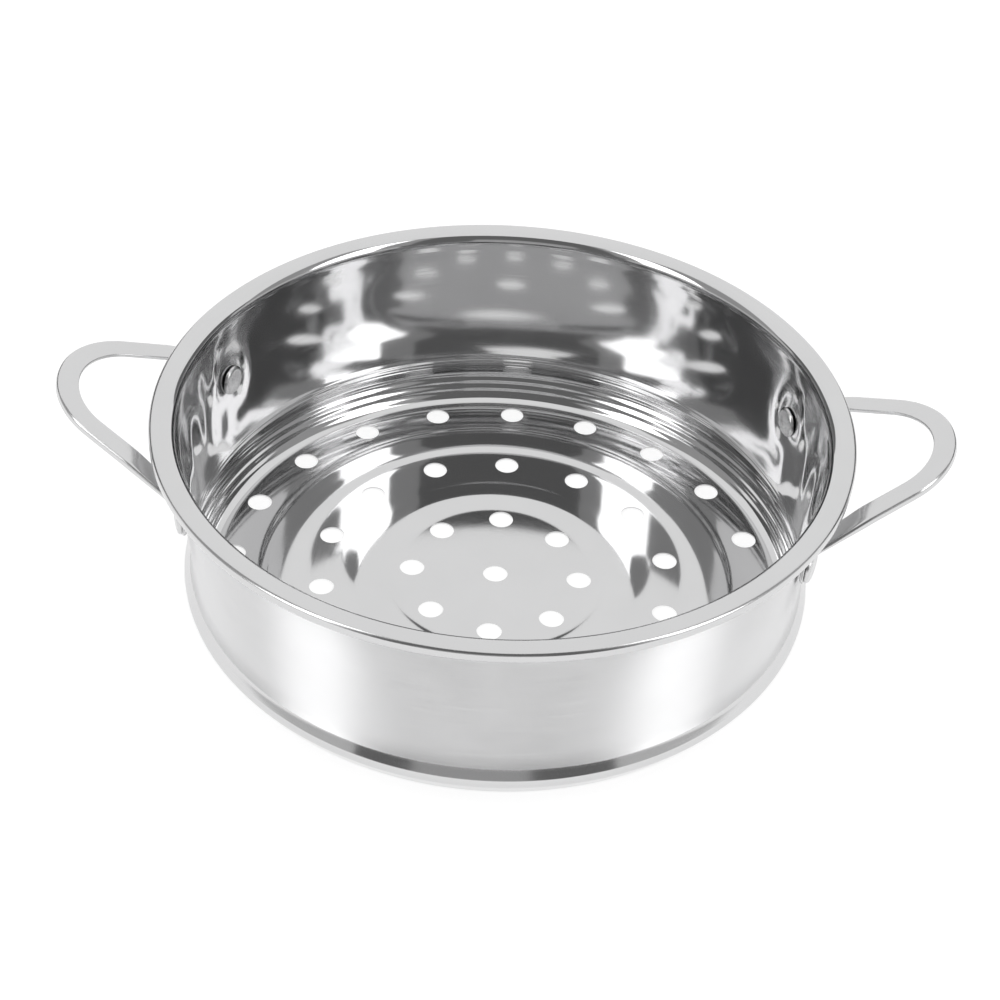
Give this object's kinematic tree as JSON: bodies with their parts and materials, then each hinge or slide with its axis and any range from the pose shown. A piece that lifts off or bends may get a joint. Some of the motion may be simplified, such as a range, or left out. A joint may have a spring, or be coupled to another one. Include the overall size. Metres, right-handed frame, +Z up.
{
  "type": "steamer insert",
  "caption": "Stainless steel steamer insert: a round basket with a perforated, ribbed base, a flat rolled rim and a riveted strap handle on either side.",
  "frame": {"origin": "centre of the base underside, which is the middle of the bounding box at its lowest level", "axes": "+Z is up out of the open top, +X runs through both handles and +Y points to the rear"},
  "size_m": [0.3252, 0.254, 0.0846],
  "materials": {
    "basket_steel": "mirror polish inside, satin with a round grain on the outer wall and the rim",
    "handle_steel": "satin",
    "rivet_steel": "polished, with a flat head"
  },
  "bodies": {
    "root": {"basket_body": "basket_steel", "handle_left": "handle_steel", "handle_right": "handle_steel", "rivet_left_front": "rivet_steel", "rivet_left_rear": "rivet_steel", "rivet_right_front": "rivet_steel", "rivet_right_rear": "rivet_steel"}
  },
  "joints": []
}
